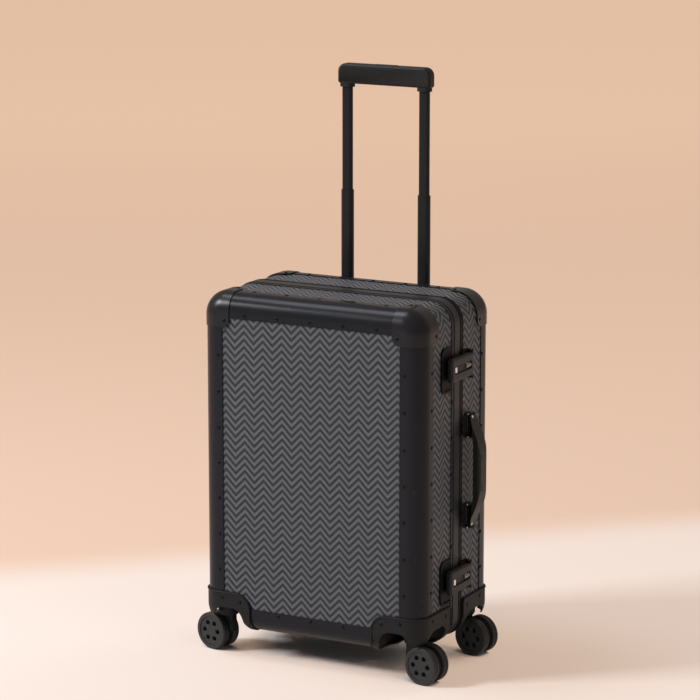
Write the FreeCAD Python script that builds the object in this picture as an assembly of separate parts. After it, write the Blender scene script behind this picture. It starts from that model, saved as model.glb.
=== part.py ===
import FreeCAD, Part
import os

from FreeCAD import Vector

# A hard suitcase in two halves: canvas-covered boards in aluminium edge rails, an aluminium
# parting frame with hinges and latches, a telescopic trolley on the back and four twin casters.
# Millimetres. X runs to the latch side, Y to the back, Z up from the floor.
# Below, "inset" is the distance inwards from the outer faces of the edge rails.

# Case over its edge rails
case_width = 416.0
case_height = 580.0
case_depth = 258.0
floor_gap = 48.0
edge_radius = 30.0
corner_extra = 10.0

# Boards, rails and lining
rail_wall = 1.6
rail_flange = 11.0
rail_lap = 9.0
board = 3.0
lining_gap = 0.3
lining_wall = 1.0
fit_gap = 0.3

# Parting frame
frame_reach = 20.7
parting_plane = 6.5
parting_gap = 0.4
frame_band = 1.0
frame_band_setback = 7.5
parting_bevel = 0.8
frame_web = 4.0
frame_inner_wall = 1.7
frame_inner_reach = 12.0
seal_width = 3.0
seal_depth = 2.0
seal_setback = 3.0
seal_sunk = 0.2

# Corner caps
cap_wall = 1.5
cap_width = 55.0
cap_height = 58.0
cap_round = 14.0

# Casters
wheel_radius = 32.0
wheel_width = 13.5
wheel_side_gap = 0.5
wheel_edge_round = 2.5
wheel_dish_radius = 25.0
wheel_dish_depth = 1.2
wheel_hole_count = 6
wheel_hole_radius = 4.0
wheel_hole_circle = 15.0
wheel_hole_depth = 7.0
wheel_hole_bevel = 1.1
wheel_end_wall = 2.5
tread_groove_width = 1.6
tread_groove_depth = 0.9
axle_radius = 3.0
running_gap = 0.05
fixed_gap = 0.02
trail = 26.0
fork_web = 11.0
fork_disc_inset = 4.0
fork_rib_width = 1.8
fork_rib_depth = 1.8
fork_plate = 3.2
fork_plate_radius = 16.0
fork_plate_lift = 0.8
stem_radius = 6.0
stem_length = 18.0
swivel_gap = 0.5
swivel_inset_x = 30.0
swivel_inset_y = 35.0
# Swivel angle of each caster as it stands, from straight out to its own side
swivel_turn = {"front_left": -13.0, "front_right": -10.5, "rear_left": -12.0, "rear_right": -11.0}

# Wheel guards
guard_wall = 2.5
guard_inner_wall = 3.0
guard_roof = 3.0
guard_over_roof = 22.0
guard_round = 28.0
guard_side_round = 8.0
guard_foot = 15.0
boss_radius = 18.0
boss_play = 3.0
arch_under_roof = 3.0
arch_round = 22.0
corner_leg_x = 20.0
corner_leg_y = 26.0
swing_room = 2.0

# Hinges on the left side
hinge_from_end = 120.0
hinge_length = 64.0
hinge_middle = 21.0
knuckle_radius = 4.2
hinge_pin_radius = 2.0
hinge_leaf = 2.0
hinge_leaf_reach = 18.0
hinge_gap = 0.4
pin_head = 1.5

# Latches on the right side, as heights of their middles above the floor
latch_heights = {"upper": 518.0, "lower": 157.0}
keeper_height = 77.0
keeper_front = 60.0
keeper_proud = 3.0
keeper_rim = 4.0
keeper_dish = 2.0
keeper_round = 14.0
latch_plate = 3.5
lever_height = 40.0
lever_thick = 9.0
lever_front = 46.0
lever_pivot = 30.0
lever_gap = 0.5
lever_round = 4.0
lever_slot = 14.0
lever_slot_depth = 3.0
lever_slot_front = 38.0
lever_slot_rear = 25.5
ear_thick = 3.0
ear_gap = 0.4
latch_pin_radius = 1.5
dial_radius = 6.0
dial_width = 4.6
dial_pitch = 6.0
dial_first = 9.5
dial_count = 3
dial_proud = 2.8
dial_flute_count = 10
dial_flute_radius = 0.8
shaft_radius = 1.2
shaft_overhang = 3.0
release_length = 7.0
release_width = 9.0
release_height = 2.4
release_from_end = 4.0
release_rib = 1.6

# Side handle
handle_height = 334.0
handle_foot_outer = 95.0
handle_foot_inner = 60.0
handle_bend = 44.0
handle_round = 120.0
handle_hollow_bend = 48.0
handle_hollow_round = 20.0
handle_reach = 22.7
handle_grip_thick = 13.5
handle_width = 28.0
handle_edge_round = 5.0
handle_barrel = 7.0
handle_y = 37.0
handle_pin_radius = 2.5
bracket_plate = 2.6
bracket_ear = 3.4
bracket_gap = 0.4
bracket_side = 5.0
bracket_foot_gap = 0.8

# Trolley on the back
tube_spacing = 147.0
upper_tube = (19.0, 11.0)
tube_wall = 1.4
tube_gap = 0.35
tube_standoff = 1.5
stage_travel = 176.0
lower_length = 420.0
upper_length = 400.0
housing_drop = 32.0
stage_lift = 1.0
housing_wall = 3.0
housing_side = 8.0
housing_round = 6.0
top_housing_height = 52.0
foot_housing_height = 42.0
foot_housing_base = 64.0
foot_floor = 6.0
tube_seat = 2.0
grip_length = 176.0
grip_depth = 20.0
grip_height = 34.0
grip_round = 14.0
grip_edge_round = 4.0
collar_drop = 6.0
collar_wall = 3.5
tube_in_grip = 12.0
button_length = 44.0
button_width = 11.0
button_proud = 0.6
button_height = 4.5
button_travel = 4.0
button_gap = 0.4

# Packing straps across the rear half
strap_width = 38.0
strap_thick = 2.2
strap_offset = 95.0
strap_end_gap = 30.0
buckle_length = 62.0
buckle_width = 50.0
buckle_thick = 6.0

# Overrun of cutters past a face, and the distances that count as near and as equal
overrun = 1.0
near = 1.0
tiny = 1e-6

# Values that follow from the sizes above
half_width = case_width / 2
bottom = floor_gap
top = floor_gap + case_height
middle = (bottom + top) / 2
corner_radius = edge_radius + corner_extra
stow_height = top - housing_drop
rail_width = edge_radius + rail_flange
board_edge = rail_width - rail_lap
canvas_x = half_width - rail_wall
lining_inset = rail_wall + board + lining_gap
frame_inset = lining_inset + lining_wall + fit_gap
frame_surface = half_width + frame_band
fork_top = 2 * wheel_radius + fork_plate_lift + fork_plate
boss_bottom = fork_top + swivel_gap
well_roof = boss_bottom + stem_length + boss_play
well_top = well_roof + guard_roof
guard_top = well_top + guard_over_roof
wheel_outer = fork_web / 2 + wheel_side_gap + wheel_width
swing = trail + wheel_radius + swing_room
guard_width = swivel_inset_x + swing + guard_inner_wall
swivel_x = half_width - swivel_inset_x
swivel_y = case_depth / 2 - swivel_inset_y
lower_tube = tuple(size + 2 * (tube_gap + tube_wall) for size in upper_tube)
outer_tube = tuple(size + 2 * (tube_gap + tube_wall) for size in lower_tube)
tube_y = case_depth / 2 + tube_standoff + outer_tube[1] / 2
hinge_x = -(frame_surface + knuckle_radius + hinge_gap)
lever_under = frame_surface + latch_plate + lever_gap
lever_face = lever_under + lever_thick
pivot_x = lever_under + lever_thick / 2
dial_x = lever_face - lever_slot_depth + dial_proud - dial_radius
handle_pivot = canvas_x + bracket_plate + bracket_foot_gap + handle_barrel
grip_low = stow_height + 2 * stage_lift + 2 * stage_travel
grip_bar = grip_low + collar_drop
grip_top = grip_bar + grip_height
hinge_heights = (bottom + hinge_from_end, top - hinge_from_end)
sides = {"front": -1, "rear": 1}
parts = {}


# Shared shapes

def block(x, y, z):
    corner = Vector(min(x), min(y), min(z))
    size = [abs(pair[1] - pair[0]) for pair in (x, y, z)]
    return Part.makeBox(size[0], size[1], size[2], corner)


def rod(radius, start, end):
    run = end.sub(start)
    return Part.makeCylinder(radius, run.Length, start, run)


def edges_along(shape, axis):
    found = []
    for edge in shape.Edges:
        run = edge.Vertexes[-1].Point.sub(edge.Vertexes[0].Point)
        if run.Length > 0 and abs(run.normalize().dot(axis)) > 0.999:
            found.append(edge)
    return found


def lies_at(low, high, level):
    return abs(low - level) < tiny and abs(high - level) < tiny


def rounded(shape, axis, radius, keep=None):
    edges = [edge for edge in edges_along(shape, axis) if keep is None or keep(edge.CenterOfMass)]
    return shape.makeFillet(radius, edges)


def joined(shapes):
    whole = shapes[0].multiFuse(shapes[1:]) if len(shapes) > 1 else shapes[0]
    return whole.removeSplitter()


def without(shape, cutters):
    return shape.cut(cutters)


def mirrored_x(shape):
    return shape.mirror(Vector(0, 0, 0), Vector(1, 0, 0))


def group(shapes):
    return Part.makeCompound([solid for shape in shapes for solid in shape.Solids])


# Case outline seen from the front, at an inset, between two depths
def slab(inset, y):
    half = half_width - inset
    box = block((-half, half), y, (bottom + inset, top - inset))
    return rounded(box, Vector(0, 1, 0), corner_radius - inset)


# Band that follows the case walls between two insets
def ring(outer, inner, y):
    return slab(outer, y).cut(slab(inner, y))


# One half of the case as a solid with its rounded face edge, at an inset
def tray(side, inset, mouth):
    face = side * (case_depth / 2 - inset)
    plate = slab(inset, (face, mouth))
    rim = [edge for edge in plate.Edges if lies_at(edge.BoundBox.YMin, edge.BoundBox.YMax, face)]
    return plate.makeFillet(edge_radius - inset, rim)


# Rounded tube section, as a solid
def oval(size, centre, z):
    x = (centre[0] - size[0] / 2, centre[0] + size[0] / 2)
    y = (centre[1] - size[1] / 2, centre[1] + size[1] / 2)
    return rounded(block(x, y, z), Vector(0, 0, 1), size[1] / 2 - tube_gap)


# Boards, rails, caps, guards, frame and lining of one half

def well_blocks(side, grow):
    face = side * (case_depth / 2 + case_depth)
    inner = side * (frame_reach + fit_gap - grow)
    x_in = half_width - guard_width - grow
    right = block((x_in, half_width + guard_width), (face, inner), (0, well_top + grow))
    return [right, mirrored_x(right)]


def face_panel(side):
    outer = side * (case_depth / 2 - rail_wall)
    half = half_width - board_edge
    z = (bottom + board_edge, top - board_edge)
    plate = block((-half, half), (outer, outer - side * board), z)
    plate = rounded(plate, Vector(0, 1, 0), corner_radius - board_edge)
    return without(plate, well_blocks(side, fit_gap))


def mouth_of(side):
    return parting_plane + side * parting_gap / 2


def wall_band(side):
    start = side * (case_depth / 2 - board_edge)
    end = mouth_of(side) + side * (frame_web + fit_gap)
    band = ring(rail_wall, rail_wall + board, (start, end))
    return without(band, well_blocks(side, fit_gap))


def edge_rails(side):
    face = side * case_depth / 2
    mouth = side * (case_depth / 2 - rail_width)
    shell = tray(side, 0, mouth).cut(tray(side, rail_wall, mouth - side * board))
    long_end = half_width - corner_radius - fit_gap
    low_end = half_width - guard_width - fit_gap
    y = (face, mouth)
    x_rail = (half_width - rail_width, half_width)
    z_rail = (well_top + fit_gap, top - corner_radius - fit_gap)
    upper = shell.common(block((-long_end, long_end), y, (top - rail_width, top)))
    lower = shell.common(block((-low_end, low_end), y, (bottom, bottom + rail_width)))
    right = shell.common(block(x_rail, y, z_rail))
    return group([upper, lower, right, mirrored_x(right)])


def corner_caps(side):
    face = side * (case_depth / 2 + cap_wall)
    inner = side * (case_depth / 2 - cap_height)
    shell = tray(side, -cap_wall, 0).cut(tray(side, 0, -side * board))
    x_low = half_width - cap_width
    z_low = top - cap_height
    zone = block((x_low, half_width + cap_wall), (face, inner), (z_low, top + cap_wall))
    vertex = Vector(x_low, inner, z_low)
    meeting = [edge for edge in zone.Edges if any(vertex.isEqual(v.Point, tiny) for v in edge.Vertexes)]
    zone = zone.makeFillet(cap_round, meeting)
    cap = shell.common(zone)
    return group([cap, mirrored_x(cap)])


# Lower corner with its wheel well: outer shell with two arches, roof, inner walls and swivel boss
def wheel_guards(side):
    face = side * case_depth / 2
    inner = side * (frame_reach + fit_gap)
    x_in = half_width - guard_width
    outer_x = half_width + guard_wall
    outer_y = face + side * guard_wall
    below = bottom - guard_wall
    zone = block((x_in, outer_x), (outer_y, inner), (below, guard_top))
    inner_edge = lambda c: c.x < x_in + near and c.z > guard_top - near
    zone = rounded(zone, Vector(0, 1, 0), guard_round, inner_edge)
    side_edge = lambda c: c.z > guard_top - near and abs(c.y - inner) < near
    zone = rounded(zone, Vector(1, 0, 0), guard_side_round, side_edge)
    form = tray(side, -guard_wall, inner)
    shell = form.cut(tray(side, 0, -side * board)).common(zone)
    foot_x = x_in + guard_foot
    foot_y = inner + side * guard_foot
    low_cut = block((foot_x, outer_x), (outer_y, foot_y), (below, boss_bottom))
    arch_top = well_roof - arch_under_roof
    arch_y = (outer_y, face - side * edge_radius)
    front_arch = block((foot_x, half_width - corner_leg_x), arch_y, (below, arch_top))
    front_arch = rounded(front_arch, Vector(0, 1, 0), arch_round, lambda c: c.z > arch_top - near)
    side_y = (face - side * corner_leg_y, foot_y)
    side_arch = block((half_width - edge_radius, outer_x), side_y, (below, arch_top))
    side_arch = rounded(side_arch, Vector(1, 0, 0), arch_round, lambda c: c.z > arch_top - near)
    axis_foot = Vector(swivel_x, side * swivel_y, below)
    axis_low = Vector(swivel_x, side * swivel_y, boss_bottom)
    axis_high = Vector(swivel_x, side * swivel_y, well_top)
    sweep = rod(swing - swing_room / 2, axis_foot, axis_low)
    shell = without(shell, [low_cut, front_arch, side_arch, sweep])
    seat = tray(side, -guard_wall / 2, inner)
    x_all = (x_in, outer_x)
    y_all = (outer_y, inner)
    roof = seat.common(block(x_all, y_all, (well_roof, well_top)))
    wall_x = seat.common(block((x_in, x_in + guard_inner_wall), y_all, (bottom, well_top)))
    wall_y = seat.common(block(x_all, (inner, inner + side * guard_inner_wall), (bottom, well_top)))
    wall_y = without(wall_y, [low_cut, side_arch])
    boss = rod(boss_radius, axis_low, axis_high)
    guard = joined([shell, roof, wall_x, wall_y, boss])
    bore_end = Vector(swivel_x, side * swivel_y, boss_bottom + stem_length + boss_play / 2)
    guard = guard.cut(rod(stem_radius + running_gap, axis_low, bore_end))
    return group([guard, mirrored_x(guard)])


# Flange over the boards, a proud band bevelled at the parting line, a web and an inner lip
def parting_frame(side):
    mouth = mouth_of(side)
    flange_end = side * frame_reach
    flange = ring(0, rail_wall, (flange_end, mouth))
    band_y = (flange_end - side * frame_band_setback, mouth)
    band = slab(-frame_band, band_y)
    rim = [edge for edge in band.Edges if lies_at(edge.BoundBox.YMin, edge.BoundBox.YMax, mouth)]
    band = band.makeChamfer(parting_bevel, rim).cut(slab(rail_wall, band_y))
    web = ring(0, frame_inset + frame_inner_wall, (mouth, mouth + side * frame_web))
    lip = ring(frame_inset, frame_inset + frame_inner_wall, (mouth, mouth + side * frame_inner_reach))
    return joined([flange, band, web, lip])


def seal_groove(grow):
    mouth = mouth_of(1)
    y = (mouth - grow, mouth + seal_depth)
    return ring(seal_setback, seal_setback + seal_width, y)


def frame_seal():
    mouth = mouth_of(1)
    y = (mouth + seal_sunk, mouth + seal_depth)
    return ring(seal_setback + fixed_gap, seal_setback + seal_width - fixed_gap, y)


def lining(side):
    mouth = mouth_of(side) + side * (frame_web + fit_gap)
    outside = without(tray(side, lining_inset, mouth), well_blocks(side, fit_gap))
    inside = tray(side, lining_inset + lining_wall, mouth - side * board)
    inside = without(inside, well_blocks(side, fit_gap + lining_wall))
    return outside.cut(inside)


for name, side in sides.items():
    parts[name + "_face_panel"] = face_panel(side)
    parts[name + "_wall_band"] = wall_band(side)
    parts[name + "_edge_rails"] = edge_rails(side)
    parts[name + "_corner_caps"] = corner_caps(side)
    parts[name + "_wheel_guards"] = wheel_guards(side)
    parts[name + "_frame"] = parting_frame(side)
    parts[name + "_lining"] = lining(side)
parts["rear_frame"] = parts["rear_frame"].cut(seal_groove(fit_gap))
parts["frame_seal"] = frame_seal()


# Hinges: leaves on the two frames, knuckles on one pin

def hinge_leaf_plate(side, height, knuckles):
    axis = Vector(hinge_x, parting_plane, height)
    start = parting_plane + side * (knuckle_radius + hinge_gap)
    plate_x = (-frame_surface - hinge_leaf, -frame_surface)
    plate_y = (start, start + side * hinge_leaf_reach)
    half = hinge_length / 2
    solids = [block(plate_x, plate_y, (height - half, height + half))]
    for low, high in knuckles:
        solids.append(rod(knuckle_radius, axis + Vector(0, 0, low), axis + Vector(0, 0, high)))
        link_y = (parting_plane + side * hinge_gap, start + side * hinge_leaf)
        solids.append(block((hinge_x - hinge_leaf, -frame_surface), link_y, (height + low, height + high)))
    leaf = joined(solids)
    bore = hinge_pin_radius + (fixed_gap if side > 0 else running_gap)
    return leaf.cut(rod(bore, axis - Vector(0, 0, hinge_length), axis + Vector(0, 0, hinge_length)))


def hinge_pin(height):
    half = hinge_length / 2
    axis = Vector(hinge_x, parting_plane, height)
    solids = [rod(hinge_pin_radius, axis - Vector(0, 0, half), axis + Vector(0, 0, half))]
    for end in (-1, 1):
        start = axis + Vector(0, 0, end * half)
        solids.append(rod(hinge_pin_radius + pin_head, start, start + Vector(0, 0, end * pin_head)))
    return joined(solids)


middle_half = hinge_middle / 2
outer_low = middle_half + hinge_gap
middle_knuckle = [(-middle_half, middle_half)]
outer_knuckles = [(outer_low, hinge_length / 2), (-hinge_length / 2, -outer_low)]
parts["hinge_leaves_front"] = group([hinge_leaf_plate(-1, z, middle_knuckle) for z in hinge_heights])
parts["hinge_leaves_rear"] = group([hinge_leaf_plate(1, z, outer_knuckles) for z in hinge_heights])
parts["hinge_pins"] = group([hinge_pin(z) for z in hinge_heights])


# Latches

# D-shaped plate with an open dish, and a striker over the front frame
def latch_keeper(height):
    half = keeper_height / 2
    x = (canvas_x, canvas_x + keeper_proud)
    y = (-keeper_front, -frame_reach - fit_gap)
    plate = block(x, y, (height - half, height + half))
    plate = rounded(plate, Vector(1, 0, 0), keeper_round, lambda c: c.y < -keeper_front + near)
    inner_half = half - keeper_rim
    dish_x = (x[1] - keeper_dish, x[1] + keeper_dish)
    dish_front = -keeper_front + keeper_rim
    dish = block(dish_x, (dish_front, 0), (height - inner_half, height + inner_half))
    dish = rounded(dish, Vector(1, 0, 0), keeper_round - keeper_rim, lambda c: c.y < dish_front + near)
    striker_x = (frame_surface, frame_surface + latch_plate)
    striker_y = (-frame_reach - keeper_rim, mouth_of(-1))
    striker_z = (height - lever_height / 2, height + lever_height / 2)
    striker = block(striker_x, striker_y, striker_z)
    foot_x = (x[1] - keeper_dish - fit_gap, striker_x[1])
    striker_foot = block(foot_x, (striker_y[0], -frame_reach - fit_gap), striker_z)
    return joined([plate.cut(dish), striker, striker_foot])


# Plate on the rear frame with two ears for the lever's pin and a window for the dials
def latch_base(height):
    rear_end = lever_pivot + lever_thick / 2 + ear_thick
    ear_half = lever_height / 2 + ear_gap + ear_thick
    x_top = frame_surface + latch_plate
    z_all = (height - ear_half, height + ear_half)
    over_frame = block((frame_surface, x_top), (mouth_of(1) + fit_gap, rear_end), z_all)
    over_canvas = block((canvas_x, x_top), (frame_reach + fit_gap, rear_end), z_all)
    solids = [over_frame, over_canvas]
    pivot = Vector(pivot_x, lever_pivot, height)
    ear_radius = lever_thick / 2
    for end in (-1, 1):
        z = (height + end * (ear_half - ear_thick), height + end * ear_half)
        barrel = rod(ear_radius, Vector(pivot.x, pivot.y, z[0]), Vector(pivot.x, pivot.y, z[1]))
        neck = block((frame_surface, pivot.x), (pivot.y - ear_radius, pivot.y + ear_radius), z)
        solids.extend([barrel, neck])
    base = joined(solids)
    dial_last = dial_first + dial_pitch * (dial_count - 1)
    window_y = (0, dial_last + dial_width / 2 + ear_gap)
    window_z = (height - dial_radius - ear_gap, height + dial_radius + ear_gap)
    window = block((dial_x - dial_radius - fit_gap, x_top + lever_thick), window_y, window_z)
    reach = Vector(0, 0, ear_half + overrun)
    bore = rod(latch_pin_radius + fixed_gap, pivot - reach, pivot + reach)
    return without(base, [window, bore])


def latch_pin(height):
    reach = Vector(0, 0, lever_height / 2 + ear_gap + ear_thick)
    pivot = Vector(pivot_x, lever_pivot, height)
    return rod(latch_pin_radius, pivot - reach, pivot + reach)


def dial_places():
    return [dial_first + dial_pitch * index for index in range(dial_count)]


# Lever over both frames, with a slot for the release and pockets for the dials
def latch_lever(height):
    half = lever_height / 2
    arm = block((lever_under, lever_face), (-lever_front, lever_pivot), (height - half, height + half))
    arm = rounded(arm, Vector(0, 0, 1), lever_round, lambda c: c.y < 0 and c.x > pivot_x)
    arm = rounded(arm, Vector(1, 0, 0), lever_round, lambda c: c.y < 0)
    pivot = Vector(pivot_x, lever_pivot, height)
    barrel = rod(lever_thick / 2, pivot - Vector(0, 0, half), pivot + Vector(0, 0, half))
    lever = joined([arm, barrel])
    slot_z = (height - lever_slot / 2, height + lever_slot / 2)
    slot_x = (lever_face - lever_slot_depth, lever_face + lever_slot_depth)
    slot = block(slot_x, (-lever_slot_front, lever_slot_rear), slot_z)
    slot = rounded(slot, Vector(1, 0, 0), lever_round)
    pocket_half = dial_radius + ear_gap
    cutters = [slot]
    for y in dial_places():
        pocket_y = (y - dial_width / 2 - fit_gap, y + dial_width / 2 + fit_gap)
        pocket_z = (height - pocket_half, height + pocket_half)
        cutters.append(block((frame_surface, lever_face + overrun), pocket_y, pocket_z))
    cutters.append(shaft_rod(height, fixed_gap))
    pin = latch_pin_radius + running_gap
    reach = Vector(0, 0, half + overrun)
    cutters.append(rod(pin, pivot - reach, pivot + reach))
    return without(lever, cutters)


def shaft_rod(height, grow):
    places = dial_places()
    start = places[0] - dial_width / 2 - shaft_overhang
    end = places[-1] + dial_width / 2 + shaft_overhang
    return rod(shaft_radius + grow, Vector(dial_x, start, height), Vector(dial_x, end, height))


def number_dial(height, y):
    start = Vector(dial_x, y - dial_width / 2, height)
    end = Vector(dial_x, y + dial_width / 2, height)
    dial = rod(dial_radius, start, end)
    cutters = [rod(shaft_radius + running_gap, start, end)]
    flute = rod(dial_flute_radius, start + Vector(dial_radius, 0, 0), end + Vector(dial_radius, 0, 0))
    for index in range(dial_flute_count):
        turned = flute.copy()
        turned.rotate(start, Vector(0, 1, 0), 360.0 * (index + 0.5) / dial_flute_count)
        cutters.append(turned)
    return without(dial, cutters)


# Sliding catch with a thumb rib
def latch_release(height):
    floor = lever_face - lever_slot_depth + fit_gap
    start = -lever_slot_front + release_from_end
    z = (height - release_width / 2, height + release_width / 2)
    pad = block((floor, floor + release_height - release_rib / 2), (start, start + release_length), z)
    rib_y = (start + release_length / 2 - release_rib, start + release_length / 2 + release_rib)
    rib = block((floor, floor + release_height), rib_y, z)
    return joined([pad, rounded(rib, Vector(0, 0, 1), release_rib / 2, lambda c: c.x > floor + near)])


parts["latch_keepers"] = group([latch_keeper(z) for z in latch_heights.values()])
parts["latch_bases"] = group([latch_base(z) for z in latch_heights.values()])
parts["latch_pins"] = group([latch_pin(z) for z in latch_heights.values()])
for name, height in latch_heights.items():
    parts[name + "_latch_lever"] = latch_lever(height)
    parts[name + "_dial_shaft"] = shaft_rod(height, 0)
    parts[name + "_latch_release"] = latch_release(height)
    for index, y in enumerate(dial_places()):
        parts[name + "_dial_" + str(index + 1)] = number_dial(height, y)


# Side handle: a bow cut from two outlines that flares from its barrels, hinged on a pin at each foot

def handle_axis(radius, z):
    return rod(radius, Vector(handle_pivot, handle_y, min(z)), Vector(handle_pivot, handle_y, max(z)))


def side_handle():
    outer_x = handle_pivot + handle_reach
    inner_x = outer_x - handle_grip_thick
    low_x = handle_pivot - handle_barrel
    z = handle_height
    half = handle_width / 2
    y = (handle_y - half, handle_y + half)

    def outline(points, radius, far_x):
        loop = Part.makePolygon(points + [points[0]])
        solid = Part.Face(loop).extrude(Vector(0, 2 * half, 0))
        return rounded(solid, Vector(0, 1, 0), radius, lambda c: c.x > far_x - near)

    def corner(x, offset):
        return Vector(x, y[0], z + offset)

    outside = [corner(low_x, -handle_foot_outer), corner(handle_pivot, -handle_foot_outer),
               corner(outer_x, -handle_bend), corner(outer_x, handle_bend),
               corner(handle_pivot, handle_foot_outer), corner(low_x, handle_foot_outer)]
    past_ear = handle_pivot + handle_barrel + bracket_gap
    inside = [corner(low_x, -handle_foot_inner), corner(past_ear, -handle_foot_inner),
              corner(inner_x, -handle_hollow_bend), corner(inner_x, handle_hollow_bend),
              corner(past_ear, handle_foot_inner), corner(low_x, handle_foot_inner)]
    bow = outline(outside, handle_round, outer_x).cut(outline(inside, handle_hollow_round, inner_x))
    tall = (z - handle_foot_outer, z + handle_foot_outer)
    section = block((handle_pivot, outer_x), y, tall)
    section = rounded(section, Vector(0, 0, 1), handle_edge_round, lambda c: c.x > outer_x - near)
    upright = edges_along(section, Vector(0, 0, 1))
    flare = [edge for edge in upright if edge.CenterOfMass.x < handle_pivot + near]
    section = section.makeChamfer(half - handle_barrel, flare)
    foot = handle_axis(handle_barrel, tall)
    grip = bow.common(joined([section, foot]))
    return grip.cut(handle_axis(handle_pin_radius + running_gap, tall))


def bracket_span(end):
    low = handle_foot_inner - bracket_gap - bracket_ear
    high = handle_foot_outer + bracket_gap + bracket_ear
    return handle_height + end * low, handle_height + end * high


# Foot bracket with two ears round one end of the handle
def handle_bracket(end):
    low, high = bracket_span(end)
    half = handle_barrel + bracket_side
    plate = block((canvas_x, canvas_x + bracket_plate), (handle_y - half, handle_y + half), (low, high))
    plate = rounded(plate, Vector(1, 0, 0), bracket_side)
    solids = [plate]
    ear_y = (handle_y - handle_barrel, handle_y + handle_barrel)
    for start, step in ((low, end * bracket_ear), (high, -end * bracket_ear)):
        z = (start, start + step)
        solids.append(block((canvas_x, handle_pivot), ear_y, z))
        solids.append(handle_axis(handle_barrel, z))
    return joined(solids).cut(handle_axis(handle_pin_radius + fixed_gap, (low, high)))


def handle_pin(end):
    return handle_axis(handle_pin_radius, bracket_span(end))


parts["side_handle"] = side_handle()
parts["handle_brackets"] = group([handle_bracket(end) for end in (-1, 1)])
parts["handle_pins"] = group([handle_pin(end) for end in (-1, 1)])


# Trolley: fixed tubes in two housings, two sliding stages and the grip

def both_tubes(size, z, hollow):
    solids = []
    for x in (-tube_spacing / 2, tube_spacing / 2):
        solid = oval(size, (x, tube_y), z)
        if hollow:
            inner = (size[0] - 2 * tube_wall, size[1] - 2 * tube_wall)
            solid = solid.cut(oval(inner, (x, tube_y), z))
        solids.append(solid)
    return solids


def grown(size, amount):
    return (size[0] + 2 * amount, size[1] + 2 * amount)


def housing_block(z):
    half = tube_spacing / 2 + outer_tube[0] / 2 + housing_side
    y = (case_depth / 2, tube_y + outer_tube[1] / 2 + housing_wall)
    solid = rounded(block((-half, half), y, z), Vector(0, 0, 1), housing_round, lambda c: c.y > tube_y)
    rim = [edge for edge in solid.Edges if edge.BoundBox.ZLength < tiny and edge.CenterOfMass.y > tube_y]
    return solid.makeFillet(housing_wall / 2, rim)


outer_z = (foot_housing_base + foot_floor, stow_height - tube_seat)
lower_z_top = stow_height + stage_lift + stage_travel
upper_z_top = grip_low + tube_in_grip
top_housing = housing_block((stow_height - top_housing_height, stow_height))
top_socket_z = (stow_height - top_housing_height, outer_z[1])
top_cut = both_tubes(grown(outer_tube, fixed_gap), top_socket_z, False)
top_cut += both_tubes(grown(lower_tube, tube_gap), (outer_z[1] - tube_seat, stow_height), False)
parts["trolley_top_housing"] = without(top_housing, top_cut)
foot_housing = housing_block((foot_housing_base, foot_housing_base + foot_housing_height))
foot_socket_z = (outer_z[0], foot_housing_base + foot_housing_height)
foot_cut = both_tubes(grown(outer_tube, fixed_gap), foot_socket_z, False)
parts["trolley_foot_housing"] = without(foot_housing, foot_cut)
parts["trolley_outer_tubes"] = group(both_tubes(outer_tube, outer_z, True))
lower_z = (lower_z_top - lower_length, lower_z_top)
upper_z = (upper_z_top - upper_length, upper_z_top)
parts["trolley_lower_tubes"] = group(both_tubes(lower_tube, lower_z, True))
parts["trolley_upper_tubes"] = group(both_tubes(upper_tube, upper_z, True))


def trolley_grip():
    half = grip_length / 2
    y = (tube_y - grip_depth / 2, tube_y + grip_depth / 2)
    bar = block((-half, half), y, (grip_bar, grip_top))
    bar = rounded(bar, Vector(0, 1, 0), grip_round, lambda c: c.z > grip_top - near)
    bar = rounded(bar, Vector(0, 1, 0), grip_edge_round, lambda c: c.z < grip_bar + near)
    sides_of_bar = [edge for edge in bar.Edges if edge.BoundBox.YLength < tiny]
    bar = bar.makeFillet(grip_edge_round, sides_of_bar)
    collar = (upper_tube[0] + 2 * collar_wall, upper_tube[1] + 2 * collar_wall)
    collars = both_tubes(collar, (grip_low, grip_bar + grip_edge_round), False)
    grip = joined([bar] + collars)
    cutters = both_tubes(grown(upper_tube, fixed_gap), (grip_low, upper_z_top), False)
    pocket_half = button_length / 2 + button_gap
    pocket_y = button_width / 2 + button_gap
    floor = grip_top + button_proud - button_height - button_travel - button_gap
    pocket_z = (floor, grip_top + overrun)
    pocket = block((-pocket_half, pocket_half), (tube_y - pocket_y, tube_y + pocket_y), pocket_z)
    cutters.append(rounded(pocket, Vector(0, 0, 1), pocket_y - button_gap))
    return without(grip, cutters)


def trolley_button():
    half = button_length / 2
    y = (tube_y - button_width / 2, tube_y + button_width / 2)
    z_high = grip_top + button_proud
    pad = block((-half, half), y, (z_high - button_height, z_high))
    pad = rounded(pad, Vector(0, 0, 1), button_width / 2 - button_gap)
    rim = [edge for edge in pad.Edges if edge.BoundBox.ZMin > z_high - tiny]
    return pad.makeFillet(button_proud / 2, rim)


parts["trolley_grip"] = trolley_grip()
parts["trolley_button"] = trolley_button()


# Packing straps flat against the rear lining, each with a buckle plate

def packing_strap(height):
    face = case_depth / 2 - lining_inset - lining_wall - fit_gap
    half = half_width - edge_radius - strap_end_gap
    band_z = (height - strap_width / 2, height + strap_width / 2)
    band = block((-half, half), (face, face - strap_thick), band_z)
    y = (face - strap_thick - buckle_thick, face - strap_thick)
    buckle_z = (height - buckle_width / 2, height + buckle_width / 2)
    buckle = block((-buckle_length / 2, buckle_length / 2), y, buckle_z)
    buckle = rounded(buckle, Vector(0, 1, 0), buckle_thick)
    return group([band, buckle])


strap_heights = (middle - strap_offset, middle + strap_offset)
parts["packing_straps"] = group([packing_strap(z) for z in strap_heights])


# Casters, built with the swivel axis on Z, trailing to +X, then turned and set under the guards

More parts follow.
